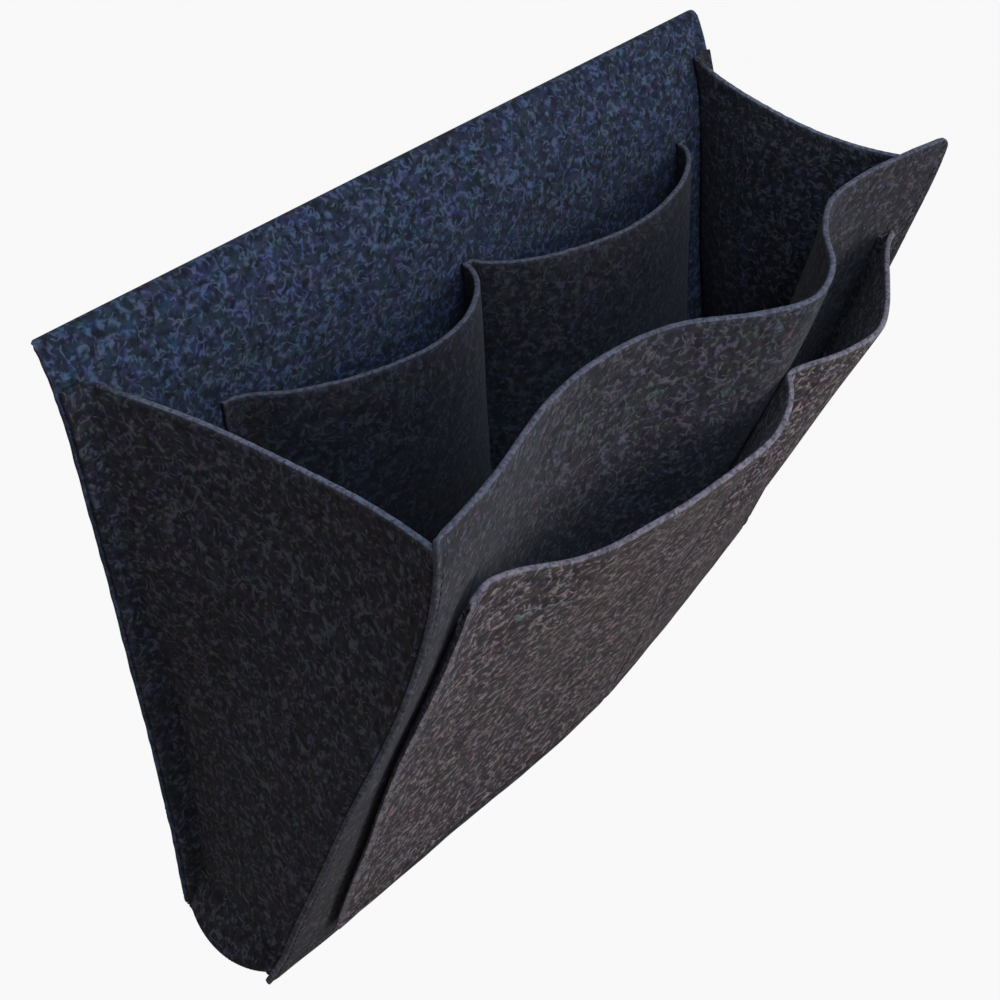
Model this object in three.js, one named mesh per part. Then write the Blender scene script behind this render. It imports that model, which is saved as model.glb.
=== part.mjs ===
// Bedside caddy sewn from thick felt, hanging open and empty.
// Millimetres, +Z up, -Y towards the room. The origin is the middle of the crease
// where the caddy folds over the edge of the bed, and the flap turns about that crease.
import * as THREE from 'three';

// Felt and seams
const felt = 3;
const layerGap = 0.3;
const backSeamAllowance = 10;
const frontLeftAllowance = 5;
const frontRightAllowance = 9;

// Back panel, and the stretch under the crease that leans over the edge of the bed
const caddyWidth = 330;
const caddyDrop = 240;
const leanRise = 35;
const leanBack = 7;

// Flap that goes under the mattress: narrower than the caddy and tapered, to slide in freely
const flapLength = 125;
const flapInset = 3;
const flapTaper = 17;

// Bag, front to back from the inner face of the back panel to the middle of the front felt
const mouthDepthLeft = 147;
const mouthDepthRight = 106;
const baseDepthLeft = 52;
const baseDepthRight = 20;
const rimDropLeft = 13;
const rimDropRight = 28;
const rimWave = 25;
const frontBelly = 3;
const leftEdgeBow = 6.5;
const leftEdgeBulge = 5.5;
const rightEdgeBow = 9;

// Side gussets, and how far each one sinks in between its two seams
const gussetDrop = 14;
const leftGussetSag = 4;
const leftGussetStep = 9;
const rightGussetStep = 10;
const leftSinkTop = 10;
const leftSinkBase = -3;
const rightSinkTop = 9;
const rightSinkBase = 12;

// Lower edge of the left gusset, where it stands out and spreads to the back panel's corner
const flareRise = 13;
const flareReach = 6;
const flareDrop = 6;
const flareSpread = 7;

// Base strip, raised so that its seam allowances hang behind the bottom edges
const baseAllowance = 9;
const baseEndGap = 1.5;
const hemClearance = 1;

// Inner pockets on the back panel
const innerRimDrop = 45;
const innerFootRise = 45;
const innerLeftInset = 59;
const innerMiddleOffset = 12;
const innerRightInset = 24;
const innerSwell = 32;
const innerSeamWidth = 4;

// Outer pockets on the front panel
const outerLeftInset = 22;
const outerRightInset = 26;
const outerHemRiseLeft = 16;
const outerHemRiseRight = 9;
const outerRimDropLeft = 50;
const outerRimDropRight = 58;
const outerRimSagLeft = 7;
const outerRimSagRight = 2;
const outerSwellLeft = 38;
const outerSwellRight = 30;
const outerPleat = 6;
const outerFlange = 8;
const outerFoot = 3;
const outerSeamWidth = 5;

// Shape of the front panel's rim: place across the width, and share of the wave
const frontRimShares = [
  [0.042, 0.06], [0.145, -0.16], [0.267, -0.56], [0.364, -0.6], [0.455, -0.26], [0.524, 0.5],
  [0.588, 0.92], [0.658, 0.68], [0.727, 0.03], [0.803, -0.4], [0.89, -0.35], [1.02, 0.1],
];
// Shape of the bottom edge: place across the width, and share of the pinch at the right end
const frontBaseShares = [[-0.009, 0], [0.25, 0], [0.49, 0.02], [0.68, 0.3], [0.85, 0.68], [0.985, 1]];
// Share by which the felt drifts to the right at the rim, and of the height where that ends
const rimDriftShare = 0.035;
const driftFallShare = 0.65;
// Share of the front panel's width at which the outer pockets are parted
const outerMiddleShare = 0.53;
// Powers that set where a pocket swells most, and how square its swelling is
const outerLeftSkewShare = 1.23;
const outerRightSkewShare = 1;
const outerRoundShare = 1.3;
const innerLeftSkewShare = 1.2;
const innerRightSkewShare = 0.92;
const innerRoundShare = 0.6;
const innerFadeShare = 1.7;
const outerLeftFadeShare = 2.1;
const outerRightFadeShare = 1.1;
const flareRoundShare = 0.6;
const flareSkewShare = 1.35;
const edgeFadeShare = 14;

// Fineness of the facets
const stationSpacing = 10;
const frontRowCount = 12;
const pocketRowCount = 10;
const gussetColumnCount = 10;
const rowSpacing = 20;
const leanRowCount = 6;
const innerColumnCount = 13;
const baseColumnCount = 4;
const probe = 0.5;

// Worked out from the sizes above
const halfFelt = felt / 2;
const layer = felt + layerGap;
const halfWidth = caddyWidth / 2;
const leanRadius = (leanRise ** 2 + leanBack ** 2) / (2 * leanBack);
const leanAngle = Math.asin(leanRise / leanRadius);
const creaseGap = layerGap / 2;
const backTop = -creaseGap - halfFelt * Math.sin(leanAngle);
const leanStart = backTop - leanRise;
const backY = -creaseGap - halfFelt * Math.cos(leanAngle) - leanBack;
const innerFaceY = backY - halfFelt;
const bottom = -caddyDrop;
const hem = bottom + hemClearance;

const lerp = THREE.MathUtils.lerp;
const smoothstep = THREE.MathUtils.smoothstep;

// Middle of the back felt at a height, moved towards the bag by lift along its normal
function backPoint(x, z, lift) {
  const rise = Math.max(0, z - leanStart);
  const angle = Math.asin(Math.min(1, rise / leanRadius));
  const y = backY + leanRadius * (1 - Math.cos(angle));
  return new THREE.Vector3(x, y - lift * Math.cos(angle), z + lift * Math.sin(angle));
}

// Plan curves of the front panel's rim and bottom edge
const rimCurve = new THREE.SplineCurve(frontRimShares.map(([across, wave]) => new THREE.Vector2(
  (across - 0.5) * caddyWidth,
  innerFaceY - lerp(mouthDepthLeft, mouthDepthRight, across) - wave * rimWave,
)));
const baseCurve = new THREE.SplineCurve(frontBaseShares.map(([across, pinch]) => new THREE.Vector2(
  (across - 0.5) * caddyWidth,
  innerFaceY - lerp(baseDepthLeft, baseDepthRight, pinch),
)));
const frontWidth = baseCurve.getLength();

function rimHeight(u) {
  return -lerp(rimDropLeft, rimDropRight, u);
}

// Middle of the front felt, at share u of its width from the left and at height z
function frontMiddle(u, z) {
  const rim = rimCurve.getPointAt(u + rimDriftShare * Math.sin(Math.PI * u));
  const base = baseCurve.getPointAt(u);
  const top = rimHeight(u);
  const fall = (top - z) / (top - bottom);
  const belly = frontBelly * 4 * fall * (1 - fall);
  const bow = 27 / 4 * fall * (1 - fall) ** 2;
  const leftBow = bow * (1 - u) ** edgeFadeShare;
  const rightBow = bow * u ** edgeFadeShare;
  const across = lerp(rim.x, base.x, smoothstep(fall, 0, driftFallShare));
  return new THREE.Vector3(
    across + leftEdgeBow * leftBow + rightEdgeBow * rightBow,
    lerp(rim.y, base.y, fall) - belly - leftEdgeBulge * leftBow,
    z,
  );
}

// The same point moved by lift along the panel's normal, outwards where lift is positive
function frontPoint(u, z, lift) {
  const step = probe / frontWidth;
  const before = Math.max(0, u - step);
  const after = Math.min(1, u + step);
  const along = frontMiddle(after, z).sub(frontMiddle(before, z));
  const up = frontMiddle(u, z + probe).sub(frontMiddle(u, z - probe));
  const normal = along.cross(up).normalize();
  return frontMiddle(u, z).addScaledVector(normal, lift);
}

// Values from first to last in equal steps no longer than spacing
function evenly(first, last, spacing) {
  const count = Math.ceil(Math.abs(last - first) / spacing);
  return Array.from({ length: count + 1 }, (unused, i) => lerp(first, last, i / count));
}

// Shares from 0 to 1 in a number of steps
function steps(count) {
  const whole = Math.round(count);
  return Array.from({ length: whole + 1 }, (unused, i) => i / whole);
}

// Shares from 0 to 1 that crowd towards both ends
function crowdedSteps(count) {
  return steps(count).map((share) => (1 - Math.cos(Math.PI * share)) / 2);
}

// A piece of felt: a grid of points on its middle surface, thickened by half the felt each way.
// Where the grid folds, the offset is mitred, so both sides of the fold keep their thickness.
function feltPiece(name, color, columns, rows, pointAt) {
  const columnCount = columns.length;
  const rowCount = rows.length;
  const middle = rows.map((row) => columns.map((column) => pointAt(column, row)));
  const facetNormal = (i, j) => {
    const down = middle[j + 1][i + 1].clone().sub(middle[j][i]);
    const across = middle[j + 1][i].clone().sub(middle[j][i + 1]);
    return down.cross(across).normalize();
  };
  const offsetAt = (i, j) => {
    const normals = [];
    for (const a of [i - 1, i]) {
      for (const b of [j - 1, j]) {
        if (a >= 0 && b >= 0 && a < columnCount - 1 && b < rowCount - 1) normals.push(facetNormal(a, b));
      }
    }
    const mean = normals.reduce((sum, normal) => sum.add(normal), new THREE.Vector3()).normalize();
    const lean = normals.reduce((sum, normal) => sum + normal.dot(mean), 0) / normals.length;
    return mean.multiplyScalar(halfFelt / lean);
  };

  const positions = [];
  const push = (point) => positions.push(point.x, point.y, point.z);
  for (const sign of [1, -1]) {
    middle.forEach((line, j) => line.forEach((point, i) => {
      push(point.clone().addScaledVector(offsetAt(i, j), sign));
    }));
  }
  const face = (i, j) => j * columnCount + i;
  const back = columnCount * rowCount;
  const indices = [];
  for (let j = 0; j < rowCount - 1; j += 1) {
    for (let i = 0; i < columnCount - 1; i += 1) {
      const corners = [face(i, j), face(i + 1, j), face(i + 1, j + 1), face(i, j + 1)];
      const [a, b, c, d] = corners;
      indices.push(a, b, c, a, c, d);
      indices.push(back + a, back + c, back + b, back + a, back + d, back + c);
    }
  }
  const edge = [];
  for (let i = 0; i < columnCount - 1; i += 1) edge.push(face(i, 0));
  for (let j = 0; j < rowCount - 1; j += 1) edge.push(face(columnCount - 1, j));
  for (let i = columnCount - 1; i > 0; i -= 1) edge.push(face(i, rowCount - 1));
  for (let j = rowCount - 1; j > 0; j -= 1) edge.push(face(0, j));
  edge.forEach((a, k) => {
    const b = edge[(k + 1) % edge.length];
    indices.push(a, back + a, back + b, a, back + b, b);
  });

  const geometry = new THREE.BufferGeometry();
  geometry.setAttribute('position', new THREE.Float32BufferAttribute(positions, 3));
  geometry.setIndex(indices);
  geometry.computeVertexNormals();
  const material = new THREE.MeshStandardMaterial({ color, roughness: 0.96, metalness: 0 });
  const mesh = new THREE.Mesh(geometry, material);
  mesh.name = name;
  return mesh;
}

// Back panel: flat, with its top leaning back over the edge of the bed
const leanHeights = evenly(leanStart, backTop, leanRise / leanRowCount);

function backPanel() {
  const heights = [bottom, ...leanHeights];
  return feltPiece('back_panel', 0x2b3546, [-halfWidth, halfWidth], heights, (x, z) => backPoint(x, z, 0));
}

// Flap, folded down behind the back panel
function mattressFlap() {
  const y = creaseGap + halfFelt;
  return feltPiece('mattress_flap', 0x2b3546, [-1, 1], [1, 0], (side, drop) => (
    new THREE.Vector3(
      side * (halfWidth - flapInset - flapTaper * drop),
      y,
      -creaseGap - flapLength * drop,
    )
  ));
}

// Places across the front panel where a seam or a fold lies, with even steps between them
const leftCorner = frontLeftAllowance / frontWidth;
const rightCorner = 1 - frontRightAllowance / frontWidth;
const outerStart = outerLeftInset / frontWidth;
const outerEnd = 1 - outerRightInset / frontWidth;
const leftFlangeEnd = outerStart + outerFlange / frontWidth;
const rightFoot = outerEnd + outerFoot / frontWidth;
const rightFlangeEnd = rightFoot + outerFlange / frontWidth;
const middleStart = outerMiddleShare - outerSeamWidth / 2 / frontWidth;
const middleEnd = outerMiddleShare + outerSeamWidth / 2 / frontWidth;
const spacingShare = stationSpacing / frontWidth;

const leftStations = evenly(leftFlangeEnd, middleStart, spacingShare);
const rightStations = evenly(middleEnd, outerEnd, spacingShare);
const frontStations = [
  0, leftCorner, outerStart, ...leftStations, ...rightStations, rightFoot, rightFlangeEnd, rightCorner, 1,
];

function frontPanel() {
  return feltPiece('front_panel', 0x30343b, frontStations, steps(frontRowCount), (u, fall) => (
    frontMiddle(u, lerp(bottom, rimHeight(u), fall))
  ));
}

// Swelling of a pocket across its width: 0 at its two seams and 1 at its fullest
function swell(share, skewShare, roundShare) {
  return Math.max(0, Math.sin(Math.PI * share ** skewShare)) ** roundShare;
}

// Outer pockets: one strip on the front panel, sewn down the middle. Its left end is a pleat,
// whose flange lies hidden under the pocket, and its right end has a flange that lies outside.
function outerPockets() {
  const leftPocket = {
    sag: outerRimSagLeft, depth: outerSwellLeft, skew: outerLeftSkewShare, fade: outerLeftFadeShare,
    under: layer,
  };
  const rightPocket = {
    sag: outerRimSagRight, depth: outerSwellRight, skew: outerRightSkewShare, fade: outerRightFadeShare,
    under: 0,
  };
  const flat = (u) => ({ u, share: 0, pleat: 0, sag: 0, depth: 0, skew: 1, fade: 1, under: 0 });
  const leftFace = [outerStart, ...leftStations].map((u) => {
    const share = (u - outerStart) / (middleStart - outerStart);
    return { ...leftPocket, u, share, pleat: 1 - share };
  });
  const rightFace = rightStations.map((u) => {
    const share = (u - middleEnd) / (outerEnd - middleEnd);
    return { ...rightPocket, u, share, pleat: share };
  });
  const columns = [
    flat(leftFlangeEnd), flat(outerStart),
    ...leftFace, ...rightFace,
    flat(rightFoot), flat(rightFlangeEnd),
  ];
  return feltPiece('outer_pockets', 0x423f45, columns, steps(pocketRowCount), (column, rise) => {
    const form = swell(column.share, column.skew, outerRoundShare);
    const hemRise = lerp(outerHemRiseLeft, outerHemRiseRight, column.u);
    const rim = -lerp(outerRimDropLeft, outerRimDropRight, column.u) - column.sag * form;
    const z = lerp(bottom + hemRise, rim, rise);
    const lift = layer + column.pleat * lerp(column.under, outerPleat, rise);
    const point = frontPoint(column.u, z, lift);
    point.y -= column.depth * form * rise ** column.fade;
    return point;
  });
}

// Side gussets: a flange on the back panel, a wall that sinks in, a flange on the front panel
const gussets = {
  left: {
    side: -1, edge: 0, corner: leftCorner, step: leftGussetStep, sag: leftGussetSag,
    sinkTop: leftSinkTop, sinkBase: leftSinkBase,
    flareOut: flareReach, flareDown: flareDrop, flareWide: flareSpread,
  },
  right: {
    side: 1, edge: 1, corner: rightCorner, step: rightGussetStep, sag: 0,
    sinkTop: rightSinkTop, sinkBase: rightSinkBase,
    flareOut: 0, flareDown: 0, flareWide: 0,
  },
};
const flareTop = hem + flareRise;

// How far the flare has grown at height z: 0 above it and 1 at the hem
function flareAt(z) {
  return Math.max(0, flareTop - z) / flareRise;
}

// The same across the gusset: 0 at its two folds and full between them
function flareForm(z, share) {
  return flareAt(z) * swell(share, flareSkewShare, flareRoundShare);
}

// How far a gusset's wall has sunk in at height z and at a share of its width
function sinkAt(gusset, z, share) {
  const rise = (z - hem) / (-gussetDrop - hem);
  const sink = lerp(gusset.sinkBase, gusset.sinkTop, rise) * 4 * share * (1 - share);
  return sink - gusset.flareOut * flareForm(z, share);
}

function sideGusset(name, gusset) {
  const { side, edge, corner } = gusset;
  const columns = [
    { part: 'back' },
    ...steps(gussetColumnCount).map((share) => ({ part: 'wall', share })),
    { part: 'front' },
  ];
  if (side < 0) columns.reverse();
  const heights = [hem, ...evenly(flareTop, leanStart, rowSpacing)];
  heights.push(...leanHeights.filter((z) => z > leanStart && z < -gussetDrop), -gussetDrop);
  return feltPiece(name, 0x232229, columns, heights, (column, backZ) => {
    const rise = (backZ - hem) / (-gussetDrop - hem);
    const frontZ = lerp(hem, rimHeight(corner) - gusset.step, rise);
    if (column.part === 'back') return backPoint(side * halfWidth, backZ, layer);
    if (column.part === 'front') return frontPoint(edge, frontZ, -layer);
    const allowance = backSeamAllowance - gusset.flareWide * flareAt(backZ);
    const point = backPoint(side * (halfWidth - allowance), backZ, layer);
    point.lerp(frontPoint(corner, frontZ, -layer), column.share);
    point.x -= side * sinkAt(gusset, backZ, column.share);
    point.z -= gusset.sag * rise ** 2 * 4 * column.share * (1 - column.share);
    point.z -= gusset.flareDown * flareForm(backZ, column.share);
    return point;
  });
}

// Base strip: between the panels, its allowances turned down along their bottom edges.
// Its left end follows the left gusset; its right end stops short of the right gusset's pleat.
function baseStrip() {
  const level = hem + baseAllowance;
  const start = baseCurve.getPointAt(0).x;
  const leftEnd = -halfWidth + backSeamAllowance + halfFelt + baseEndGap;
  const rightEnd = halfWidth - backSeamAllowance - rightSinkBase - halfFelt - baseEndGap;
  const firstShare = (leftEnd - start) / frontWidth;
  let lastShare = 1;
  while (baseCurve.getPointAt(lastShare).x > rightEnd) lastShare -= probe / frontWidth;
  const inner = frontStations.filter((u) => u > firstShare + leftCorner && u < lastShare - leftCorner);
  const columns = [
    { part: 'frontEdge' },
    ...steps(baseColumnCount).map((share) => ({ part: 'floor', share })),
    { part: 'backEdge' },
  ];
  return feltPiece('base_strip', 0x26262c, columns, [firstShare, ...inner, lastShare], (column, u) => {
    const low = frontPoint(u, hem, -layer);
    const high = frontPoint(u, level, -layer);
    if (column.part === 'frontEdge') return low;
    if (column.part === 'backEdge') return backPoint(high.x, hem, layer);
    const point = high.lerp(backPoint(high.x, level, layer), column.share);
    if (u === firstShare) point.x += sinkAt(gussets.left, level + halfFelt, column.share);
    return point;
  });
}

// Inner pockets: one strip on the back panel, sewn at its two ends and once between them
function innerPockets() {
  const half = innerSeamWidth / 2;
  const leftSeam = -halfWidth + innerLeftInset;
  const rightSeam = halfWidth - innerRightInset;
  const flat = (x) => ({ x, form: 0 });
  const pocket = (from, to, skewShare) => crowdedSteps(innerColumnCount).map((share) => ({
    x: lerp(from, to, share),
    form: swell(share, skewShare, innerRoundShare),
  }));
  const columns = [
    flat(leftSeam - half),
    ...pocket(leftSeam + half, innerMiddleOffset - half, innerLeftSkewShare),
    ...pocket(innerMiddleOffset + half, rightSeam - half, innerRightSkewShare),
    flat(rightSeam + half),
  ];
  const rim = -innerRimDrop;
  const foot = bottom + innerFootRise;
  return feltPiece('inner_pockets', 0x1f2027, columns, steps(pocketRowCount), (column, rise) => {
    const point = backPoint(column.x, lerp(foot, rim, rise), layer);
    point.y -= innerSwell * column.form * (1 - (1 - rise) ** innerFadeShare);
    return point;
  });
}

const caddy = new THREE.Group();
caddy.name = 'bedside_caddy';
caddy.add(
  backPanel(),
  mattressFlap(),
  frontPanel(),
  sideGusset('left_gusset', gussets.left),
  sideGusset('right_gusset', gussets.right),
  baseStrip(),
  innerPockets(),
  outerPockets(),
);

export default caddy;
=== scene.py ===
"""Bedside caddy of thick heather felt, hanging open and empty from its crease."""
import math

import bpy
import numpy as np
from mathutils import Matrix, Vector


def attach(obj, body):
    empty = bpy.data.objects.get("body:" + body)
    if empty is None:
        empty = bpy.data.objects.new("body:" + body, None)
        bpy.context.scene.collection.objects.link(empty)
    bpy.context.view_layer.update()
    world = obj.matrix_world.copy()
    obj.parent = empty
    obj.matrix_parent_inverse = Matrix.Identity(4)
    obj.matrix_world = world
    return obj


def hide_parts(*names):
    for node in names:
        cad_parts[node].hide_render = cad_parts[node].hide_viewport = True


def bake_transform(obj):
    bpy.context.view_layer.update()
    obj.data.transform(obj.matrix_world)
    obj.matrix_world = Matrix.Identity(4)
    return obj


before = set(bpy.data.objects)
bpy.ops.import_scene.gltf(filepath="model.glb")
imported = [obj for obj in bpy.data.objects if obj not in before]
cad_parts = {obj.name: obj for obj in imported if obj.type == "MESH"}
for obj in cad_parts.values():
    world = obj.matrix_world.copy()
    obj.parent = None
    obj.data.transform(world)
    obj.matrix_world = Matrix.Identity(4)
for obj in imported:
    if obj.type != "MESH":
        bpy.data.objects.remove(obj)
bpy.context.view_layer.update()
bpy.ops.object.select_all(action="DESELECT")

# Felt, in millimetres. The solids are 3 mm thick with a gap between them; the felt is drawn
# a little thinner, so that its cut edges are crisp and sewn layers touch.
SOLID = 3.0
SOLID_GAP = 0.3
FELT = 2.1
LAYER = 2.25
EDGE = 0.5
EDGE_BULGE = 0.05
SHARP_ANGLE = 48

# Seams: the felt that each takes up, how far inside a hem it runs, and how deep and how wide
# its thread draws the felt in
BACK_ALLOWANCE = 10.0
FRONT_LEFT_ALLOWANCE = 5.0
FRONT_RIGHT_ALLOWANCE = 9.0
HEM_SEAM = 4.0
SEAM_DEPTH = 0.32
SEAM_SPREAD = 0.95

# Back panel, the stretch under the crease that leans over the edge of the bed, and the left
# edge, which curls towards the bag
WIDTH = 330.0
DROP = 240.0
LEAN_RISE = 35.0
LEAN_BACK = 7.0
LEFT_EDGE_CURL = 1.6
CURL_START = 100.0
CURL_HEAD = (30.0, 90.0)
CURL_FOOT = (-232.0, -200.0)

# Crease and flap
CREASE_PULL = 2.7
CREASE_STEPS = 17
CREASE_UNDER_STEPS = 5
CREASE_CELL_SHARE = 0.02
CREASE_INSET_START = 0.45
CREASE_EDGE_PALE = 0.4
FLAP_LENGTH = 125.0
FLAP_INSET = 3.0
FLAP_TAPER = 17.0
FLAP_CORNER = 7.0

# Bag
MOUTH_LEFT = 147.0
MOUTH_RIGHT = 106.0
BASE_LEFT = 52.0
BASE_RIGHT = 20.0
RIM_DROP_LEFT = 13.0
RIM_DROP_RIGHT = 28.0
RIM_WAVE = 25.0
BELLY = 3.0

# Front panel's side edges: how far they bow and bulge, and how quickly that fades inwards
LEFT_EDGE_BOW = 6.5
LEFT_EDGE_BULGE = 5.5
RIGHT_EDGE_BOW = 6.0
EDGE_FADE = 14
LOW_CORNER_REACH = 5.0
LOW_CORNER_RUN = (225.0, 241.0)
LOW_CORNER_FADE = 30
HIGH_CORNER_REACH = 2.5
HIGH_CORNER_RUN = (-75.0, -35.0)
LEFT_CORNER_ROUND = 3.0
RIGHT_CORNER_ROUND = 6.0
FRONT_RUN = 218.0

# Gussets, and the left one's lower edge, which stands out as a lip
GUSSET_DROP = 14.0
GUSSET_CORNER = 4.0
GUSSET_FOLD_ROUND = 1.6
FRONT_CLEARANCE = 1.1
BACK_CLEARANCE = 0.8
NARROW_ALLOWANCE = 5.0
FLARE_RISE = 13.0
FLARE_SKEW = 1.1
FLARE_ROUND = 0.6
FLARE_START = 0.42
FLARE_START_FADE = 6
FLARE_CELL = 1.2
WALL_STEPS = 74
ALLOWANCE_WAVES = [(3.0, 155.0, 38.0), (-2.0, 70.0, 22.0)]

# Base strip
BASE_ALLOWANCE = 9.0
BASE_END_GAP = 0.3
BASE_END_RUN = 25.0
BASE_STEPS = 22
BASE_FOLD_ROUND = 1.5
HEM_CLEARANCE = 1.0

# Inner pockets
INNER_RIM = -45.0
INNER_FOOT = -195.0
INNER_SEAMS = (-106.0, 12.0, 141.0)
INNER_SWELL = 32.0
INNER_FILL = 1.7
INNER_SEAM_WIDTH = 4.0
INNER_SEAM_LINES = (-1.4, -0.9, -0.4, 0, 0.4, 0.9, 1.4)
INNER_STEPS = 62
INNER_FOLD_ROUND = 1.3
INNER_ROUND = 0.6
INNER_START_ROUNDS = (0.9, 0.6)
INNER_START_RUN = 0.14
INNER_SKEWS = (1.2, 0.92)

# Outer pockets
OUTER_LEFT_INSET = 22.0
OUTER_RIGHT_INSET = 26.0
OUTER_HEM_LEFT = 16.0
OUTER_HEM_RIGHT = 9.0
OUTER_RIM_LEFT = 50.0
OUTER_RIM_RIGHT = 58.0
OUTER_PLEAT = 6.0
OUTER_FLANGE = 8.0
OUTER_FOOT = 3.0
OUTER_SEAM_WIDTH = 1.8
OUTER_MIDDLE = 0.535
OUTER_TUCK = 8.0
OUTER_STAND = 2.75
OUTER_RUN = 172.0
OUTER_FOLD_ROUND = 1.35
OUTER_SEAM_LINES = (-0.6, -0.3, 0, 0.3, 0.6)

# Each outer pocket: how far its rim sags and swells, how the swelling fades towards the hem,
# and how it leans to one side
LEFT_SAG = 7.0
LEFT_DEPTH = 38.0
LEFT_FADE = 2.1
LEFT_SKEW = 1.23
RIGHT_SAG = 2.0
RIGHT_DEPTH = 31.5
RIGHT_FADE = 1.1
POCKET_ROUND = 1.3

# The outer rim's drops: at the tucked end, at its fold, in the left pocket's dip, and at the
# right foot
TUCK_DROP = 18.0
TUCK_TURN = (0.86, 1.1)
TUCK_SHARES = (0.15, 0.3, 0.45, 0.6, 0.75, 0.86, 0.94)
FOLD_DROP = 5.0
FOLD_RUN = 9.0
FOLD_LINES = (0.5, 1.1)
DIP_DROP = 9.0
DIP_PLACE = 0.3
DIP_SPREAD = 0.17
FOOT_DROP = 8.0

# A painted highlight along the fold of the outer pockets' left end, where the fold catches the
# light: how light it is, how far past the fold it lies, and how far it spreads
FOLD_HIGHLIGHT_PALE = 0.9
FOLD_HIGHLIGHT_PLACE = 0.3
FOLD_HIGHLIGHT_SPREAD = 0.6

# Stitches: how far apart they are, how deep they lie in the groove, and how far they stay
# from a seam's end, from a rim and from the tucked rim
STITCH_PITCH = 3.5
STITCH_SUNK = 0.75
STITCH_ROOM = 2.0
SEAM_END = 3.0
RIM_END = 2.0
TUCKED_RIM_END = 12.0
BASE_END_SHARE = 0.01
HEM_START_SHARE = 0.02

# Shares of the width with the wave of the front rim there, and with how far the bag's foot has
# narrowed there; how far the rim's plan drifts sideways, and by what share of the fall it ends
RIM_WAVES = [
    (0.042, 0.06), (0.145, -0.16), (0.267, -0.56), (0.364, -0.6), (0.455, -0.26), (0.524, 0.5),
    (0.588, 0.92), (0.658, 0.68), (0.727, 0.03), (0.803, -0.4), (0.89, -0.35), (1.02, 0.1),
]
BASE_PINCH = [(-0.009, 0), (0.25, 0), (0.49, 0.02), (0.68, 0.3), (0.85, 0.68), (0.985, 1)]
RIM_DRIFT = 0.035
DRIFT_FALL = 0.65

HALF = FELT / 2
HALF_WIDTH = WIDTH / 2
LEAN_RADIUS = (LEAN_RISE**2 + LEAN_BACK**2) / (2 * LEAN_BACK)
LEAN_ANGLE = math.asin(LEAN_RISE / LEAN_RADIUS)
CREASE_GAP = SOLID_GAP / 2
BACK_TOP = -CREASE_GAP - SOLID / 2 * math.sin(LEAN_ANGLE)
LEAN_START = BACK_TOP - LEAN_RISE
BACK_Y = -CREASE_GAP - SOLID / 2 * math.cos(LEAN_ANGLE) - LEAN_BACK
INNER_FACE = BACK_Y - SOLID / 2
FLAP_Y = CREASE_GAP + SOLID / 2
BOTTOM = -DROP
HEM = BOTTOM + HEM_CLEARANCE

# Spacing of a sheet's points, steps along a plan curve, places of points round a seam, the
# room left for those, the step over which a slope is taken, and a distance at which a seam
# has no effect
CELL = 2.2
CURVE_STEPS = 201
LINE = (-1.9, -1.1, -0.55, 0, 0.55, 1.1, 1.9)
LINE_ROOM = 0.7
SLOPE_STEP = 0.5
FAR = 99.0


def lerp(a, b, t):
    return a + (b - a) * t


def smoothstep(x, low, high):
    t = np.clip((x - low) / (high - low), 0, 1)
    return t * t * (3 - 2 * t)


def unit(v):
    return v / np.linalg.norm(v, axis=-1, keepdims=True)


def plan_curve(points):
    """A curve through plan points, read by share of its length, and that length."""
    points = np.array(points, float)
    last = len(points) - 1

    def at(t):
        place = np.clip(t, 0, 1) * last
        i = np.minimum(place.astype(int), last)
        w = (place - i)[..., None]
        p0, p1 = points[np.maximum(i - 1, 0)], points[i]
        p2, p3 = points[np.minimum(i + 1, last)], points[np.minimum(i + 2, last)]
        v0, v1 = (p2 - p0) / 2, (p3 - p1) / 2
        bend = (2 * (p1 - p2) + v0 + v1) * w**3 + (3 * (p2 - p1) - 2 * v0 - v1) * w**2
        return bend + v0 * w + p1

    t = np.linspace(0, 1, CURVE_STEPS)
    steps = np.linalg.norm(np.diff(at(t), axis=0), axis=1)
    lengths = np.concatenate([[0], np.cumsum(steps)])
    return (lambda share: at(np.interp(share, lengths / lengths[-1], t))), lengths[-1]


rim_at, _ = plan_curve([
    ((a - 0.5) * WIDTH, INNER_FACE - lerp(MOUTH_LEFT, MOUTH_RIGHT, a) - w * RIM_WAVE)
    for a, w in RIM_WAVES
])
base_at, FRONT_WIDTH = plan_curve([
    ((a - 0.5) * WIDTH, INNER_FACE - lerp(BASE_LEFT, BASE_RIGHT, pinch)) for a, pinch in BASE_PINCH
])


def back_point(x, z, lift):
    """Middle of the back felt, moved towards the bag by lift."""
    x, z = np.broadcast_arrays(np.asarray(x, float), np.asarray(z, float))
    angle = np.arcsin(np.clip((z - LEAN_START) / LEAN_RADIUS, 0, 1))
    y = BACK_Y + LEAN_RADIUS * (1 - np.cos(angle))
    curl = LEFT_EDGE_CURL * smoothstep(-x, CURL_START, HALF_WIDTH)
    y = y - curl * smoothstep(-z, *CURL_HEAD) * smoothstep(z, *CURL_FOOT)
    return np.stack([x, y - lift * np.cos(angle), z + lift * np.sin(angle)], axis=-1)


def rim_height(u):
    return -lerp(RIM_DROP_LEFT, RIM_DROP_RIGHT, u)


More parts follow.
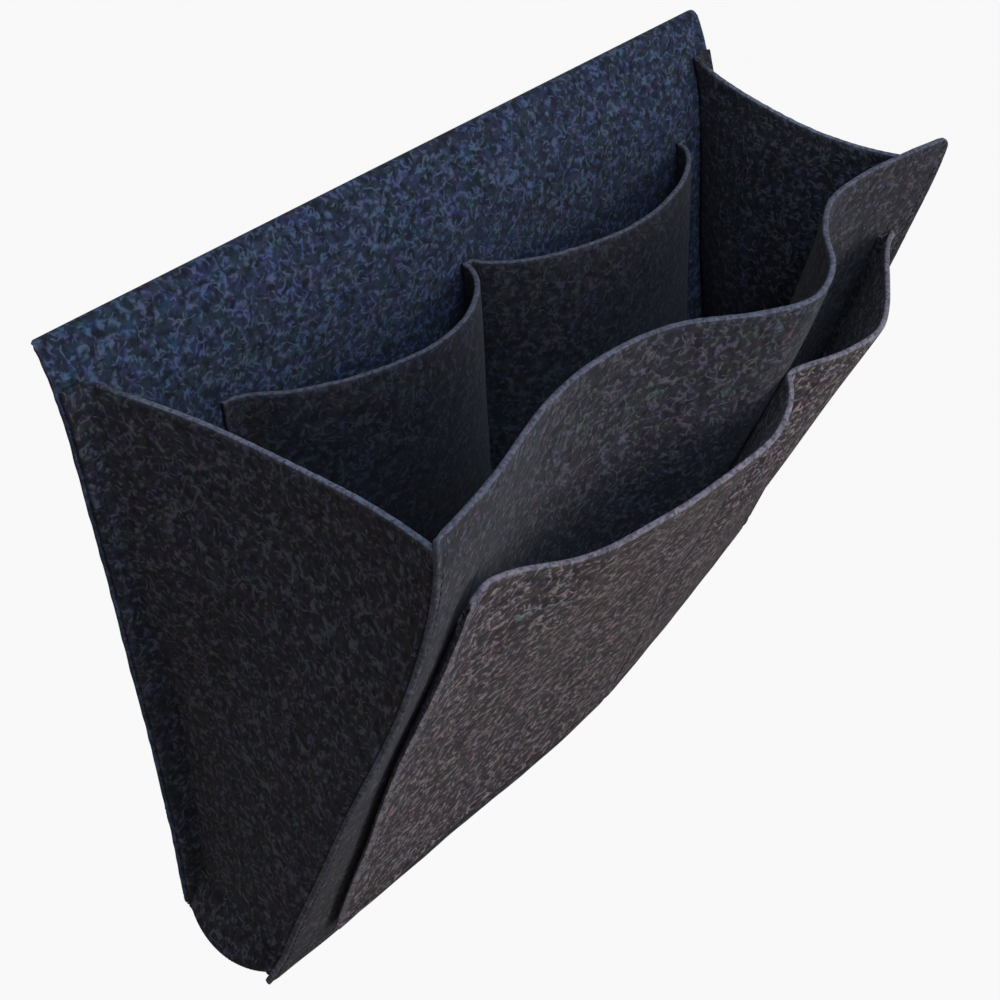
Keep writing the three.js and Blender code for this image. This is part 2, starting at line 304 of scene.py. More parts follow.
def front_middle(u, z):
    """Middle of the front felt at share u of its width and at height z."""
    u, z = np.broadcast_arrays(np.asarray(u, float), np.asarray(z, float))
    rim = rim_at(u + RIM_DRIFT * np.sin(np.pi * u))
    base = base_at(u)
    top = rim_height(u)
    fall = (top - z) / (top - BOTTOM)
    belly = BELLY * 4 * fall * (1 - fall)
    bow = 27 / 4 * fall * (1 - fall) ** 2  # 1 where it is widest, a third of the way down
    left, right = bow * (1 - u) ** EDGE_FADE, bow * u**EDGE_FADE
    low_corner = smoothstep(-z, *LOW_CORNER_RUN) * np.clip(1 - u, 0, 1) ** LOW_CORNER_FADE
    high_corner = smoothstep(z, *HIGH_CORNER_RUN) * np.clip(u, 0, 1) ** EDGE_FADE
    across = lerp(rim[..., 0], base[..., 0], smoothstep(fall, 0, DRIFT_FALL))
    across = across - LOW_CORNER_REACH * low_corner + HIGH_CORNER_REACH * high_corner
    return np.stack([
        across + LEFT_EDGE_BOW * left + RIGHT_EDGE_BOW * right,
        lerp(rim[..., 1], base[..., 1], fall) - belly - LEFT_EDGE_BULGE * left,
        z,
    ], axis=-1)


def front_point(u, z, lift):
    """The same point moved by lift along the panel's normal, outwards where positive."""
    u, z = np.broadcast_arrays(np.asarray(u, float), np.asarray(z, float))
    step = SLOPE_STEP / FRONT_WIDTH
    along = front_middle(np.minimum(1, u + step), z) - front_middle(np.maximum(0, u - step), z)
    up = front_middle(u, z + SLOPE_STEP) - front_middle(u, z - SLOPE_STEP)
    return front_middle(u, z) + unit(np.cross(along, up)) * np.asarray(lift, float)[..., None]


def swell(share, skew, roundness):
    return np.maximum(0, np.sin(np.pi * np.clip(share, 0, 1) ** skew)) ** roundness


# The felt's own unevenness: one slow swaying of space, the same for every layer, so that
# pieces that lie on each other move together. Each part of it has a length and a height, and
# all of it dies out at the crease.
SWAY_PARTS = [(19, 0.28), (23, 0.25), (12, 0.13), (14, 0.12), (8, 0.06), (7, 0.05)]
SWAY_START = (4, 30)
rng = np.random.default_rng(11)
SWAYS = [
    (rng.normal(size=3) / length, rng.uniform(0, 2 * np.pi, 3), height)
    for length, height in SWAY_PARTS
]


def sway(p):
    moved = np.zeros_like(p)
    for wave, phase, height in SWAYS:
        moved += height * np.sin((p @ wave)[..., None] + phase)
    return p + moved * smoothstep(-p[..., 2:3], *SWAY_START)


def spaced(first, last, cell=CELL, close=()):
    """Values from first to last no further apart than cell, closer together round some places."""
    values = list(np.linspace(first, last, int(math.ceil(abs(last - first) / cell)) + 1))
    keep = [place + d for place in close for d in LINE]
    values = [v for v in values if all(abs(v - k) > LINE_ROOM for k in keep)] + keep
    values = sorted(v for v in values if min(first, last) < v < max(first, last))
    values = [min(first, last)] + values + [max(first, last)]
    least = 0.1 * cell
    kept = [values[0]]
    for v in values[1:-1]:
        if v - kept[-1] > least and values[-1] - v > least:
            kept.append(v)
    return np.array(kept + [values[-1]])


def line_depth(*distances):
    """How far seams draw the felt in, from the distances to their lines."""
    depth = 0
    for d in distances:
        depth = np.maximum(depth, SEAM_DEPTH * np.exp(-((d / SEAM_SPREAD) ** 2)))
    return depth


def soften(grid, radius):
    """Rounds the folds of each row of points by about radius, its ends staying where they are."""
    out = np.empty_like(grid)
    reach, pitch = 3 * radius, 0.25
    spread = radius / 1.6
    window = np.exp(-(np.arange(-reach, reach + 0.1, pitch) ** 2) / (2 * spread**2))
    window /= window.sum()
    for j, line in enumerate(grid):
        run = np.concatenate([[0], np.cumsum(np.linalg.norm(np.diff(line, axis=0), axis=1))])
        even = np.arange(-reach, run[-1] + reach, pitch)
        inside = np.stack([np.interp(even, run, line[:, k]) for k in range(3)], axis=1)
        place = even[:, None]
        before = line[0] + place * (line[1] - line[0]) / run[1]
        after = line[-1] + (place - run[-1]) * (line[-1] - line[-2]) / (run[-1] - run[-2])
        inside = np.where(place < 0, before, np.where(place > run[-1], after, inside))
        smooth = [np.convolve(inside[:, k], window, mode="same") for k in range(3)]
        out[j] = np.stack([np.interp(run, even, values) for values in smooth], axis=1)
    return out


def round_corner(grid, row, column, radius):
    """Rounds one corner of a grid, named by its row and column, 0 or -1, in place."""
    view = grid[::-1] if row else grid
    view = view[:, ::-1] if column else view
    a = np.linalg.norm(view[0] - view[0, 0], axis=-1)[None, :]
    b = np.linalg.norm(view[:, 0] - view[0, 0], axis=-1)[:, None]
    over, down = unit(view[0, 3] - view[0, 0]), unit(view[3, 0] - view[0, 0])
    p, q = np.maximum(0, radius - a), np.maximum(0, radius - b)
    long = np.sqrt(p**2 + q**2)
    pull = np.where((p > 0) & (q > 0), 1 - np.maximum(p, q) / np.maximum(long, 1e-9), 0)
    view += (p * pull)[..., None] * over + (q * pull)[..., None] * down


# Cut edges: how light they are where nothing else is said, how much of that reaches the faces,
# their unevenness as heights, waves and phases, and the lines of points that round them, each
# an angle and a side. Their paleness is partly the felt's own looser fibres and partly painted
# light: the values that pieces give each side make edges that face the light paler and edges in
# shade darker.
CUT_PALE = 0.75
FACE_PALE = 0.25
RAGGED = [(0.11, (2.3, -4.1, 3.3), 0), (0.08, (-5.1, 3.7, 6.3), 2)]
EDGE_LINES = ((35, 1), (90, 1), (90, 0), (90, -1), (35, -1))


def felt_sheet(name, grid, body, nodes, finish, butt=(), groove=0.0, pale=None, pale_and_highlight=None):
    """A sheet of felt on a grid of points in its middle. Its cut edges are a little uneven,
    except the ones named in butt, which another piece continues. groove gives how much
    thinner it is along its seams, pale how light each side's cut edge is, as one value or one
    for each column, partly the felt's own paler fibres and partly a painted highlight where the
    edge catches the light, and worn how light the outer face is painted as a highlight."""
    grid = sway(grid)
    rows, columns, _ = grid.shape
    normal = unit(np.cross(unit(np.gradient(grid, axis=1)), unit(np.gradient(grid, axis=0))))
    half = np.broadcast_to(HALF - groove, (rows, columns))

    sides = ["bottom"] * (columns - 1) + ["right"] * (rows - 1)
    sides += ["top"] * (columns - 1) + ["left"] * (rows - 1)
    ring = [(0, i) for i in range(columns - 1)]
    ring += [(j, columns - 1) for j in range(rows - 1)]
    ring += [(rows - 1, i) for i in range(columns - 1, 0, -1)]
    ring += [(j, 0) for j in range(rows - 1, 0, -1)]
    rj, ri = np.array([r[0] for r in ring]), np.array([r[1] for r in ring])
    b, n, h = grid[rj, ri], normal[rj, ri], half[rj, ri][:, None]
    behind, ahead = b - np.roll(b, 1, axis=0), np.roll(b, -1, axis=0) - b
    joined = np.array([side in butt for side in sides])
    joined_before = np.roll(joined, 1)
    step = np.where(joined_before[:, None], ahead, behind + ahead)
    step = np.where(joined[:, None], behind, step)
    e = unit(np.cross(step, n))
    e[joined & joined_before] = 0

    inward = np.zeros_like(grid)
    inward[rj, ri] = -e * EDGE
    thick = normal * half[..., None]
    points = [(grid + inward + thick * side).reshape(-1, 3) for side in (1, -1)]
    light = {side: np.asarray((pale or {}).get(side, CUT_PALE)) for side in set(sides)}
    light.update({side: np.asarray(0.0) for side in butt})
    lightness = np.array([
        light[side][i] if light[side].ndim else light[side] for side, i in zip(sides, ri)
    ])
    corner = np.array(sides) != np.roll(sides, 1)
    lightness = np.maximum(lightness, np.where(corner, np.roll(lightness, 1), 0))
    face_cut = np.zeros((rows, columns))
    face_cut[rj, ri] = lightness * FACE_PALE
    # The outer face takes a painted highlight on top of the cut edges' paleness
    outer_paleness = face_cut if pale_and_highlight is None else np.maximum(face_cut, pale_and_highlight)
    cut = [outer_paleness.reshape(-1), face_cut.reshape(-1)]

    ragged = sum(height * np.sin(b @ np.array(wave) + phase) for height, wave, phase in RAGGED)
    rings = []
    for turn, side in EDGE_LINES:
        a = math.radians(turn)
        out = EDGE * (math.sin(a) - 1) + (EDGE_BULGE if side == 0 else 0)
        lift = h - EDGE + EDGE * math.cos(a)
        rings.append(b + e * (out + ragged[:, None] * math.sin(a)) + n * lift * side)
    points += rings
    cut += [lightness] * len(rings)

    back = rows * columns
    j, i = np.meshgrid(np.arange(rows - 1), np.arange(columns - 1), indexing="ij")
    c = (j * columns + i).ravel()
    faces = np.stack([c, c + 1, c + columns + 1, c + columns], axis=1).tolist()
    faces += (back + np.stack([c, c + columns, c + columns + 1, c + 1], axis=1)).tolist()
    loops = [rj * columns + ri]
    loops += [2 * back + k * len(b) + np.arange(len(b)) for k in range(len(rings))]
    loops.append(back + rj * columns + ri)
    for one, other in zip(loops, loops[1:]):
        faces += np.stack([one, other, np.roll(other, -1), np.roll(one, -1)], axis=1).tolist()
    return make_piece(name, np.concatenate(points), faces, np.concatenate(cut), body, nodes, finish)


def make_piece(name, points, faces, cut, body, nodes, finish):
    """A piece from points in millimetres. finish is its material and the record's slot."""
    mesh = bpy.data.meshes.new(name)
    mesh.from_pydata([tuple(p) for p in points * 0.001], [], faces)
    mesh.update()
    piece = bpy.data.objects.new(name, mesh)
    bpy.context.scene.collection.objects.link(piece)
    # Each point's paleness: the cut edges' own paler fibres, partly a painted highlight where they
    # catch the light, and painted highlights along folds
    attribute = mesh.attributes.new("edge_paleness_and_highlight", "FLOAT", "POINT")
    attribute.data.foreach_set("value", np.asarray(cut, np.float32))
    mesh.polygons.foreach_set("use_smooth", [True] * len(mesh.polygons))
    mesh.set_sharp_from_angle(angle=math.radians(SHARP_ANGLE))
    mesh.materials.append(finish[0])
    if body:
        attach(piece, body)
    if nodes:
        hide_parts(*nodes)
    return piece


# Materials. Sizes of patterns are in metres, from the middle of one patch to the next. The
# twist's is that of its wave, which has a ridge every 1 mm along the thread.
MOTTLE = 0.0031
SHADE = 0.0075
DYE = 0.006
FRAY = 0.0016
NAP = 0.0014
TWIST = 0.0016

# Three layers of light tufts: size, width of a tuft, and how rarely they show
TUFTS = [(0.0046, 0.11, 0.46), (0.0037, 0.12, 0.48), (0.0059, 0.08, 0.47)]


def linear(code):
    """An sRGB hex colour as Blender's linear values."""
    parts = [int(code[i : i + 2], 16) / 255 for i in (1, 3, 5)]
    return [c / 12.92 if c <= 0.04045 else ((c + 0.055) / 1.055) ** 2.4 for c in parts] + [1.0]


def new_material(name):
    material = bpy.data.materials.new(name)
    material.use_nodes = True
    material.node_tree.nodes.clear()
    return material, material.node_tree


def add(tree, kind, settings=None, links=None):
    """Adds a node. Settings go to its properties or, by name or number, to its inputs. A link
    is a socket, or a node of which the first output is meant."""
    node = tree.nodes.new("ShaderNode" + kind)
    for key, value in (settings or {}).items():
        if isinstance(key, str) and hasattr(node, key):
            setattr(node, key, value)
        else:
            node.inputs[key].default_value = value
    for key, source in (links or {}).items():
        source = source.outputs[0] if hasattr(source, "outputs") else source
        tree.links.new(source, node.inputs[key])
    return node


def heather_felt(name, dark, middle, tint, fibre, edge, light_fibres):
    """Needle-punched felt of wool and polyester: matt and dark, its ground mottled from two
    dyed fibres, with curly light fibres lying in it, and a paler, looser cut edge, whose paleness
    also carries painted highlights on edges and folds. A real fibre is under 0.05 mm across;
    what is drawn here are the 1 mm tufts that they make."""
    material, tree = new_material(name)
    place = add(tree, "TexCoord").outputs["Object"]
    smooth = {"interpolation_type": "SMOOTHSTEP"}
    colours = {"data_type": "RGBA"}

    patches = add(tree, "TexNoise", {"Scale": 1 / MOTTLE, "Detail": 2.0}, {"Vector": place})
    limits = {"From Min": 0.34, "From Max": 0.66}
    mottle = add(tree, "MapRange", {**smooth, **limits}, {"Value": patches})
    ground = add(tree, "Mix", {**colours, 6: linear(dark), 7: linear(middle)}, {0: mottle})
    clouds = add(tree, "TexNoise", {"Scale": 1 / SHADE, "Detail": 2.0}, {"Vector": place})
    limits = {"From Min": 0.42, "From Max": 0.68, "To Max": 0.55}
    shade = add(tree, "MapRange", {**smooth, **limits}, {"Value": clouds})
    base = add(tree, "Mix", {**colours, 7: linear(tint)}, {0: shade, 6: ground.outputs[2]})

    web = None
    for k, (size, width, seen) in enumerate(TUFTS):
        turned = {
            "Location": (0.31 * k + 0.07, 0.17 * k, 0.53 * k),
            "Rotation": (0.6 * k, 0.9 * k, 1.3 * k),
        }
        moved = add(tree, "Mapping", turned, {"Vector": place})
        curls = {"Scale": 1 / size, "Detail": 0.3, "Distortion": 0.7}
        lines = add(tree, "TexNoise", curls, {"Vector": moved})
        off = add(tree, "Math", {"operation": "SUBTRACT", 1: 0.5}, {0: lines})
        away = add(tree, "Math", {"operation": "ABSOLUTE"}, {0: off})
        limits = {"From Min": 0.0, "From Max": width, "To Min": 1.0, "To Max": 0.0}
        tuft = add(tree, "MapRange", {**smooth, **limits}, {"Value": away})
        groups = add(tree, "TexNoise", {"Scale": 1 / MOTTLE, "Detail": 1.0}, {"Vector": moved})
        limits = {"From Min": seen, "From Max": seen + 0.2}
        group = add(tree, "MapRange", {**smooth, **limits}, {"Value": groups})
        layer = add(tree, "Math", {"operation": "MULTIPLY"}, {0: tuft, 1: group})
        web = add(tree, "Math", {"operation": "MAXIMUM"}, {0: web, 1: layer}) if web else layer
    shown = add(tree, "Math", {"operation": "MULTIPLY", 1: light_fibres}, {0: web})
    fibred = add(tree, "Mix", {**colours, 7: linear(fibre)}, {0: shown, 6: base.outputs[2]})
    dyes = add(tree, "TexNoise", {"Scale": 1 / DYE, "Detail": 2.0}, {"Vector": place})
    cast = {**colours, "blend_type": "SOFT_LIGHT", 0: 0.5}
    dyed = add(tree, "Mix", cast, {6: fibred.outputs[2], 7: dyes.outputs[1]})

    # Paleness read from the mesh: the cut edges' own paler fibres, partly a painted highlight where
    # they catch the light, and painted highlights along folds, broken up by the fray
    cut = add(tree, "Attribute", {"attribute_name": "edge_paleness_and_highlight"}).outputs["Fac"]
    frays = add(tree, "TexNoise", {"Scale": 1 / FRAY, "Detail": 2.0}, {"Vector": place})
    limits = {"From Min": 0.34, "From Max": 0.62, "To Min": 0.35}
    frayed = add(tree, "MapRange", {**smooth, **limits}, {"Value": frays})
    pale_and_highlight = add(tree, "Math", {"operation": "MULTIPLY"}, {0: cut, 1: frayed})
    colour = add(tree, "Mix", {**colours, 7: linear(edge)}, {0: pale_and_highlight, 6: dyed.outputs[2]})

    nap = add(tree, "TexNoise", {"Scale": 1 / NAP, "Detail": 2.0}, {"Vector": place})
    height = add(tree, "Math", {"operation": "MULTIPLY_ADD", 1: 0.8}, {0: web, 2: nap})
    bump = add(tree, "Bump", {"Strength": 0.45, "Distance": 0.0006}, {"Height": height})
    shader = add(
        tree, "BsdfPrincipled",
        {
            "Roughness": 0.95, "Specular IOR Level": 0.12, "Sheen Weight": 0.08,
            "Sheen Roughness": 0.6,
        },
        {"Base Color": colour.outputs[2], "Normal": bump},
    )
    add(tree, "OutputMaterial", links={"Surface": shader})
    return material


def sewing_thread():
    """Dark matt polyester sewing thread, its twist drawn as slanting ridges 1 mm apart, which
    is coarser than the real ones."""
    material, tree = new_material("dark_polyester_thread")
    place = add(tree, "TexCoord").outputs["Object"]
    twist = {"Scale": 1 / TWIST, "Distortion": 0.6, "bands_direction": "DIAGONAL"}
    ridges = add(tree, "TexWave", twist, {"Vector": place})
    shades = {"data_type": "RGBA", 6: linear("#16171b"), 7: linear("#2c2e35")}
    colour = add(tree, "Mix", shades, {0: ridges.outputs[1]})
    bump = add(tree, "Bump", {"Strength": 0.3, "Distance": 0.0001}, {"Height": ridges.outputs[1]})
    shader = add(
        tree, "BsdfPrincipled", {"Roughness": 0.6, "Specular IOR Level": 0.3},
        {"Base Color": colour.outputs[2], "Normal": bump},
    )
    add(tree, "OutputMaterial", links={"Surface": shader})
    return material


# Each finish is a material and the slot of the record that it stands for. A felt's colours
# are its two ground fibres, its tint, its light fibres and its cut edge. All four are one
# charcoal heather felt: the back panel's copy is painted blue with cool light, the outer
# pockets' copy is painted lighter and warmer with the warm light that falls on them, and the
# inner pockets' copy is painted a little darker with the shade inside the bag.
INSIDE = (heather_felt(
    "heather_felt_painted_cool_light", "#151b26", "#2a364b", "#212b39", "#60759a", "#6f80a0", 0.5,
), "back_felt")
BODY = (heather_felt(
    "charcoal_heather_felt", "#16171c", "#2d2f37", "#2a2731", "#6a6e7c", "#70788a", 0.55,
), "body_felt")
INNER = (heather_felt(
    "heather_felt_painted_shade", "#18191f", "#2b2d35", "#27252c", "#5b5f6b", "#626977", 0.45,
), "inner_pocket_felt")
OUTER = (heather_felt(
    "heather_felt_painted_warm_light", "#19161a", "#403a3d", "#332f38", "#a29ba4", "#7f808d", 0.75,
), "outer_pocket_felt")
THREAD = (sewing_thread(), "body_felt")

# Back panel
BACK_SEAM = HALF_WIDTH - BACK_ALLOWANCE / 2
BASE_SEAM = HEM + BASE_ALLOWANCE / 2
INNER_HEM_SEAM = INNER_FOOT + HEM_SEAM

back_x = spaced(-HALF_WIDTH, HALF_WIDTH, close=(-BACK_SEAM, BACK_SEAM) + INNER_SEAMS)[None, :]
back_z = spaced(BOTTOM, BACK_TOP, close=(BASE_SEAM, INNER_HEM_SEAM))[:, None]
back_grid = back_point(back_x, back_z, 0.0)
sewn = (back_z > HEM) & (back_z < -GUSSET_DROP)
pocketed = (back_z > INNER_FOOT) & (back_z < INNER_RIM)
spanned = (back_x > INNER_SEAMS[0]) & (back_x < INNER_SEAMS[2])
back_groove = line_depth(
    np.where(sewn, np.abs(back_x) - BACK_SEAM, FAR),
    np.where(np.abs(back_x) < HALF_WIDTH - BACK_ALLOWANCE, back_z - BASE_SEAM, FAR),
    np.where(spanned, back_z - INNER_HEM_SEAM, FAR),
    *[np.where(pocketed, back_x - seam, FAR) for seam in INNER_SEAMS],
)
back_sheet = felt_sheet(
    "back_sheet", back_grid, "bag", ["back_panel"], INSIDE, butt=("top",), groove=back_groove,
    pale={"left": 0.15, "right": 0.4, "bottom": 0.3},
)

# Flap
flap_share = spaced(-HALF_WIDTH, HALF_WIDTH) / HALF_WIDTH
flap_drop = spaced(0, FLAP_LENGTH)[::-1] / FLAP_LENGTH
flap_half = HALF_WIDTH - FLAP_INSET - FLAP_TAPER * flap_drop
flap_x = -flap_share[None, :] * flap_half[:, None]
flap_z = np.broadcast_to(-CREASE_GAP - FLAP_LENGTH * flap_drop[:, None], flap_x.shape)
flap_grid = np.stack([flap_x, np.full_like(flap_x, FLAP_Y), flap_z], axis=-1)
for side in (0, -1):
    round_corner(flap_grid, 0, side, FLAP_CORNER)
flap_sheet = felt_sheet(
    "flap_sheet", flap_grid, "flap", ["mattress_flap"], INSIDE, butt=("top",),
)


def crease_strip():
    """The bend over the top, from the back panel's upper end to the flap's."""
    lean = np.array([math.sin(LEAN_ANGLE), math.cos(LEAN_ANGLE)])
    top = np.array([BACK_Y + LEAN_BACK, BACK_TOP])
    face = np.array([-math.cos(LEAN_ANGLE), math.sin(LEAN_ANGLE)]) * HALF
    start, finish = top + face, np.array([FLAP_Y + HALF, -CREASE_GAP])
    t = np.linspace(0, 1, CREASE_STEPS)[:, None]
    one, two = start + lean * CREASE_PULL, finish + np.array([0.0, CREASE_PULL])
    over = (1 - t) ** 3 * start + 3 * (1 - t) ** 2 * t * one
    over = over + 3 * (1 - t) * t**2 * two + t**3 * finish
    back = np.linspace(0, 1, CREASE_UNDER_STEPS)
    under = lerp(np.array([FLAP_Y - HALF, -CREASE_GAP]), top - face, back[:, None])
    outline = np.concatenate([over, under])
    share = np.concatenate([t[:, 0], back[::-1]])
    run = np.roll(outline, -1, axis=0) - np.roll(outline, 1, axis=0)
    inward = unit(np.stack([run[:, 1], -run[:, 0]], axis=-1)) * EDGE
    inward[[0, CREASE_STEPS - 1, CREASE_STEPS, -1]] = 0
    half_width = HALF_WIDTH - FLAP_INSET * smoothstep(share, CREASE_INSET_START, 1)

    # Each layer across: its share of the width, how far it is set back, how far its outline
    # is drawn in, and how light it is. The cut ends have a rounded edge.
    cap, edge = (0.0, 1.0, CUT_PALE), (EDGE, 0.0, CREASE_EDGE_PALE)
    shares = spaced(-1, 1, CREASE_CELL_SHARE)[1:-1]
    layers = [(-1.0, *cap), (-1.0, *edge)] + [(s, EDGE, 0.0, 0.0) for s in shares]
    layers += [(1.0, *edge), (1.0, *cap)]
    points, cut = [], []
    for s, set_back, pull, light in layers:
        shape = outline + inward * pull
        x = s * half_width - math.copysign(set_back if abs(s) == 1 else 0, s)
        points += [(px, y, z) for px, (y, z) in zip(x, shape)]
        cut += [light] * len(outline)
    count, faces = len(outline), []
    for k in range(len(layers) - 1):
        for i in range(count):
            m = (i + 1) % count
            faces.append((k * count + i, k * count + m, (k + 1) * count + m, (k + 1) * count + i))
    faces.append(tuple(range(count))[::-1])
    last = (len(layers) - 1) * count
    faces.append(tuple(last + i for i in range(count)))
    strip = make_piece("crease_strip", np.array(points), faces, cut, None, None, INSIDE)
    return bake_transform(strip)


crease = crease_strip()


# Front panel
def share_stations(first, last, close=()):
    """Places along the front panel, as shares of its width."""
    close = [c * FRONT_WIDTH for c in close]
    return spaced(first * FRONT_WIDTH, last * FRONT_WIDTH, close=close) / FRONT_WIDTH


outer_start = OUTER_LEFT_INSET / FRONT_WIDTH
outer_end = 1 - OUTER_RIGHT_INSET / FRONT_WIDTH
left_corner = FRONT_LEFT_ALLOWANCE / FRONT_WIDTH
right_corner = 1 - FRONT_RIGHT_ALLOWANCE / FRONT_WIDTH
middle_start = OUTER_MIDDLE - OUTER_SEAM_WIDTH / 2 / FRONT_WIDTH
middle_end = OUTER_MIDDLE + OUTER_SEAM_WIDTH / 2 / FRONT_WIDTH
right_foot = outer_end + OUTER_FOOT / FRONT_WIDTH
right_flange_end = right_foot + OUTER_FLANGE / FRONT_WIDTH
FRONT_SEAMS = (left_corner / 2, (1 + right_corner) / 2)
OUTER_SEAMS = (
    outer_start + (OUTER_TUCK + OUTER_FLANGE / 2) / FRONT_WIDTH, OUTER_MIDDLE,
    right_foot + HEM_SEAM / FRONT_WIDTH,
)


def outer_hem(u):
    return BOTTOM + lerp(OUTER_HEM_LEFT, OUTER_HEM_RIGHT, u)


def outer_rim(u):
    return -lerp(OUTER_RIM_LEFT, OUTER_RIM_RIGHT, u)


front_u = share_stations(0, 1, FRONT_SEAMS + OUTER_SEAMS)[None, :]
front_fall = spaced(0, FRONT_RUN, close=(BASE_SEAM - BOTTOM,))[:, None] / FRONT_RUN
front_z = lerp(BOTTOM, rim_height(front_u), front_fall)
front_grid = front_middle(front_u, front_z)
round_corner(front_grid, 0, 0, LEFT_CORNER_ROUND)
round_corner(front_grid, -1, 0, LEFT_CORNER_ROUND)
round_corner(front_grid, -1, -1, RIGHT_CORNER_ROUND)
held = (front_z > outer_hem(front_u)) & (front_z < outer_rim(front_u))
between = (front_u > left_corner) & (front_u < right_corner)
front_groove = line_depth(
    *[(front_u - seam) * FRONT_WIDTH for seam in FRONT_SEAMS],
    *[np.where(held, (front_u - seam) * FRONT_WIDTH, FAR) for seam in OUTER_SEAMS],
    np.where(between, front_z - BASE_SEAM, FAR),
)
front_sheet = felt_sheet(
    "front_sheet", front_grid, "bag", ["front_panel"], BODY, groove=front_groove,
    pale={"left": 0.4, "right": 0.1, "bottom": 0.2, "top": 0.55},
)


# Outer pockets
def outer_columns():
    """Places across the pocket strip: share of the front panel's width, lift at the hem and at
    the rim, swelling, sag, depth, fade, and how far the rim is dropped."""
    tuck = OUTER_TUCK / FRONT_WIDTH
    columns = []
    for u in spaced(OUTER_TUCK, OUTER_TUCK + OUTER_FLANGE)[::-1] / FRONT_WIDTH:
        columns.append((outer_start + u, LAYER, LAYER, 0, 0, 0, 1, TUCK_DROP))
    for w in TUCK_SHARES:
        drop = TUCK_DROP - (TUCK_DROP - FOLD_DROP) * smoothstep(w, *TUCK_TURN)
        low, high = LAYER + LAYER * w, LAYER + OUTER_STAND * w
        columns.append((outer_start + tuck * (1 - w), low, high, 0, 0, 0, 1, drop))
    close_to_fold = outer_start + np.array(FOLD_LINES) / FRONT_WIDTH
    for u in np.union1d(share_stations(outer_start, middle_start), close_to_fold):
        share = (u - outer_start) / (middle_start - outer_start)
        form = swell(share, LEFT_SKEW, POCKET_ROUND if share**LEFT_SKEW < 0.5 else 1.0)
        drop = FOLD_DROP * max(0, 1 - (u - outer_start) * FRONT_WIDTH / FOLD_RUN) ** 2
        dip = math.exp(-(((share - DIP_PLACE) / DIP_SPREAD) ** 2))
        drop += DIP_DROP * dip * smoothstep(share, 0, 0.1)
        low, high = LAYER * (2 - share), LAYER + OUTER_STAND * (1 - share)
        columns.append((u, low, high, form, LEFT_SAG, LEFT_DEPTH, LEFT_FADE, drop))
    for d in OUTER_SEAM_LINES:
        columns.append((OUTER_MIDDLE + d / FRONT_WIDTH, LAYER, LAYER, 0, 0, 0, 1, 0))
    for u in share_stations(middle_end, outer_end):
        share = (u - middle_end) / (outer_end - middle_end)
        form, high = swell(share, 1, POCKET_ROUND), LAYER + OUTER_PLEAT * share
        columns.append((u, LAYER, high, form, RIGHT_SAG, RIGHT_DEPTH, RIGHT_FADE, 0))
    for w in (0.25, 0.5, 0.75):
        u, high = outer_end + (right_foot - outer_end) * w, LAYER + OUTER_PLEAT * (1 - w)
        columns.append((u, LAYER, high, 0, 0, 0, 1, FOOT_DROP * w))
    for u in share_stations(right_foot, right_flange_end, OUTER_SEAMS[2:]):
        columns.append((u, LAYER, LAYER, 0, 0, 0, 1, FOOT_DROP))
    return np.array(columns, float).T[:, None, :]


def outer_pocket_grid():
    u, low, high, form, sag, depth, fade, drop = outer_columns()
    rise = spaced(0, OUTER_RUN, close=(HEM_SEAM,))[:, None] / OUTER_RUN
    z = lerp(outer_hem(u), outer_rim(u) - sag * form - drop, rise)
    grid = front_point(u, z, lerp(low, high, rise))
    grid[..., 1] -= depth * form * rise**fade
    return soften(grid, OUTER_FOLD_ROUND), u, z


outer_grid, outer_u, outer_z = outer_pocket_grid()
outer_groove = line_depth(
    *[(outer_u - seam) * FRONT_WIDTH for seam in OUTER_SEAMS[1:]],
    outer_z - outer_hem(outer_u) - HEM_SEAM,
)
tucked = int(np.argmax(np.diff(outer_u[0]) > 0))
outer_pale = CUT_PALE - CUT_PALE * smoothstep(outer_u[0], outer_end, (outer_end + right_foot) / 2)
outer_pale[:tucked] = 0
# A painted highlight along the fold at the pockets' left end, where the fold catches the light
past_fold = (outer_u - outer_start) * FRONT_WIDTH
past_fold[:, :tucked] *= -1
fold_highlight = FOLD_HIGHLIGHT_PALE * np.exp(-(((past_fold - FOLD_HIGHLIGHT_PLACE) / FOLD_HIGHLIGHT_SPREAD) ** 2))
outer_sheet = felt_sheet(
    "outer_pocket_sheet", outer_grid, "bag", ["outer_pockets"], OUTER, groove=outer_groove,
    pale_and_highlight=fold_highlight * np.ones_like(outer_z), pale={"bottom": 0.2, "top": outer_pale},
)

# Gussets. step: how far the front rim stands above the gusset's; top and base: how far the
# wall sinks in there; sag: the rim's; out, down and wide: the lip's; wobble: the allowance's.
FLARE_TOP = HEM + FLARE_RISE
LEFT = {
    "side": -1, "edge": 0.0, "corner": left_corner, "step": 9.0, "sag": 4.0, "top": 10.0,
    "base": -3.0, "out": 3.8, "down": 4.2, "wide": 8.5, "wobble": 1.0,
}
RIGHT = {
    "side": 1, "edge": 1.0, "corner": right_corner, "step": 10.0, "sag": 2.5, "top": 9.0,
    "base": 12.0, "out": 0.0, "down": 0.0, "wide": 0.0, "wobble": 0.0,
}


def flare_at(z):
    return np.maximum(0, FLARE_TOP - z) / FLARE_RISE


def flare_form(share):
    """The lip across the gusset: it leaves the back panel's corner already standing out."""
    start = FLARE_START * (1 - share) ** FLARE_START_FADE
    return np.maximum(swell(share, FLARE_SKEW, FLARE_ROUND), start)


def gusset_rise(z):
    return (z - HEM) / (-GUSSET_DROP - HEM)


def front_height(g, z):
    """Height on the front panel that meets a gusset's height z on the back panel."""
    return lerp(HEM, rim_height(g["corner"]) - g["step"], gusset_rise(z))


